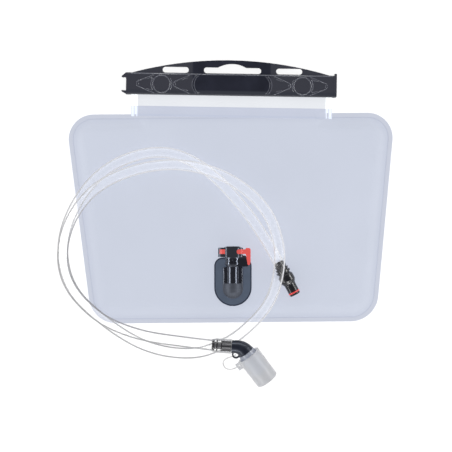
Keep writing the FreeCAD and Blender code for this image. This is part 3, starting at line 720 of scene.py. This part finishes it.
def curve_between(corners, steps=6):
    """A smooth line through corner points, as a chain of short straight pieces."""
    line = []
    for i in range(len(corners) - 1):
        a, b, c, d = (Vector(corners[min(max(k, 0), len(corners) - 1)]) for k in (i - 1, i, i + 1, i + 2))
        for k in range(steps):
            t = k / steps
            line.append(0.5 * (2 * b + (c - a) * t + (2 * a - 5 * b + 4 * c - d) * t ** 2
                               + (3 * b - a - 3 * c + d) * t ** 3))
    return line + [Vector(corners[-1])]


def moulded_line(name, line, radius, closed=False):
    """A half-round raised line on the bar's face, painted lighter as a highlight; the line is in the bar's U
    and W.
    """
    path = [from_bar(p[0], p[1], FACE_Z) for p in line]
    ridge = sweep(name, path, [radius * MM] * len(path), 10, closed)
    paint(ridge, RELIEF_HIGHLIGHT)
    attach(ridge, "closure")


def circle(u, radius, low=0.0, high=360.0, steps=48):
    """Points round a ring's centre, from one angle to another."""
    angles = [math.radians(low + (high - low) * k / steps) for k in range(steps + (high - low < 360))]
    return [(u + radius * math.cos(a), FACE_MID + radius * math.sin(a)) for a in angles]


# The pointed outlines beside each ring: how far out the tip is, how far back the legs reach, half the width
# across them, and the line's radius.
POINTS = [(21.5, 15.0, 7.9, 0.42), (20.0, 12.0, 5.6, 0.3), (-10.6, 14.0, 7.9, 0.42), (-12.2, 11.0, 5.6, 0.3)]


def bar_relief():
    """Rings, pointed outlines and brackets, mirrored about the bar's middle."""
    for side, u in zip(("left", "right"), RINGS):
        out = math.copysign(1, u)
        moulded_line(f"ring_{side}", circle(u, RING_R), 0.5, closed=True)
        for number, facing in enumerate((0, 180)):
            arc = circle(u, RING_R + 1.6, facing - 35, facing + 35, 14)
            moulded_line(f"ring_guard_{side}_{number}", arc, 0.35)
        for number, (reach, spread, half, radius) in enumerate(POINTS):
            tip = u + out * reach
            legs = [(tip - out * spread, half), (tip - out * 3.6, 3.4), (tip - out * 0.6, 1.9), (tip, 0),
                    (tip - out * 0.6, -1.9), (tip - out * 3.6, -3.4), (tip - out * spread, -half)]
            line = curve_between([(a, FACE_MID + b) for a, b in legs])
            moulded_line(f"point_{side}_{number}", line, radius)
        for number, shift in enumerate((26.8, 28.8)):
            tip = u - out * shift
            angles = [-0.9 + 1.8 * k / 16 for k in range(17)]
            arc = [(tip - out * 9.6 * (1 - math.cos(a)), FACE_MID + 9.8 * math.sin(a)) for a in angles]
            moulded_line(f"bracket_{side}_{number}", arc, 0.42)
    # A lighter line along the bar's top edge: a painted highlight on the edge's bevel.
    moulded_line("bar_top_highlight", [(-88.0, 18.2), (88.5, 18.2)], 0.5)


bar_relief()


def flange_edge():
    """The flange's dark moulded edge, a round-bottomed outline just inside its rim."""
    low, high = (Vector(corner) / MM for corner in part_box("port_flange"))
    half = (high.x - low.x) / 2 - 0.35
    middle = (high.x + low.x) / 2
    bottom = low.y + 0.3
    top = high.y - 0.3
    line = [(middle + half * math.cos(a), bottom + half - half * math.sin(a))
            for a in (math.pi * k / 40 for k in range(41))]
    corner = 6.7
    for centre_x, first in ((middle - half + corner, 180), (middle + half - corner, 90)):
        for k in range(11):
            a = math.radians(first - 9 * k)
            line.append((centre_x + corner * math.cos(a), top - corner + corner * math.sin(a)))
    path = [Vector((x, y, high.z - 0.25)) * MM for x, y in line]
    edge = sweep("flange_edge", path, [0.65 * MM] * len(path), 12, closed=True)
    paint(edge, FLANGE_EDGE)
    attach(edge, "bladder")


flange_edge()


# ---- floor and light --------------------------------------------------------------------------------------
LAMP_SIZE = (2.0, 0.16)
# Four long lamps low on each side, which cast no shadow: name, place and power.
LAMPS = [
    ("left", (-1.35, 0.0, 0.69), 24),
    ("right", (1.35, 0.0, 0.69), 24),
    ("top", (0.0, 1.35, 0.69), 16),
    ("bottom", (0.0, -1.35, 0.69), 20),
]
SKY_LOW = 0.7
SKY_HIGH = 0.18


def make_world():
    """A white studio: bright round the horizon, greyer overhead."""
    world = bpy.data.worlds.new("studio")
    world.use_nodes = True
    tree = world.node_tree
    place = tree.nodes.new("ShaderNodeTexCoord")
    split = tree.nodes.new("ShaderNodeSeparateXYZ")
    spread = tree.nodes.new("ShaderNodeMapRange")
    spread.inputs["From Min"].default_value = 0.15
    spread.inputs["From Max"].default_value = 0.9
    spread.inputs["To Min"].default_value = SKY_LOW
    spread.inputs["To Max"].default_value = SKY_HIGH
    tree.links.new(place.outputs["Generated"], split.inputs["Vector"])
    tree.links.new(split.outputs["Z"], spread.inputs["Value"])
    tree.links.new(spread.outputs["Result"], tree.nodes["Background"].inputs["Strength"])
    tree.nodes["Background"].inputs["Color"].default_value = (1, 1, 1, 1)
    return world


def make_stage():
    """The pale floor, the world and the lamps."""
    floor = add_mesh("floor", [(-4, -4, 0), (4, -4, 0), (4, 4, 0), (-4, 4, 0)], [(0, 1, 2, 3)], smooth=False)
    floor.location.z = -0.0001
    paint(floor, material("floor", (0.64, 0.64, 0.64), 0.85, vary=0.004, scale=3, rough_vary=0.02))
    SCENE.world = make_world()
    for name, place, power in LAMPS:
        data = bpy.data.lights.new(name, "AREA")
        data.shape = "RECTANGLE"
        data.size, data.size_y = LAMP_SIZE
        data.energy = power
        data.use_shadow = False
        lamp = bpy.data.objects.new(name, data)
        lamp.location = place
        lamp.rotation_euler = (-Vector(place)).to_track_quat("-Z", "Y").to_euler()
        SCENE.collection.objects.link(lamp)
    SCENE.view_settings.view_transform = "Standard"
    SCENE.view_settings.look = "None"


make_stage()
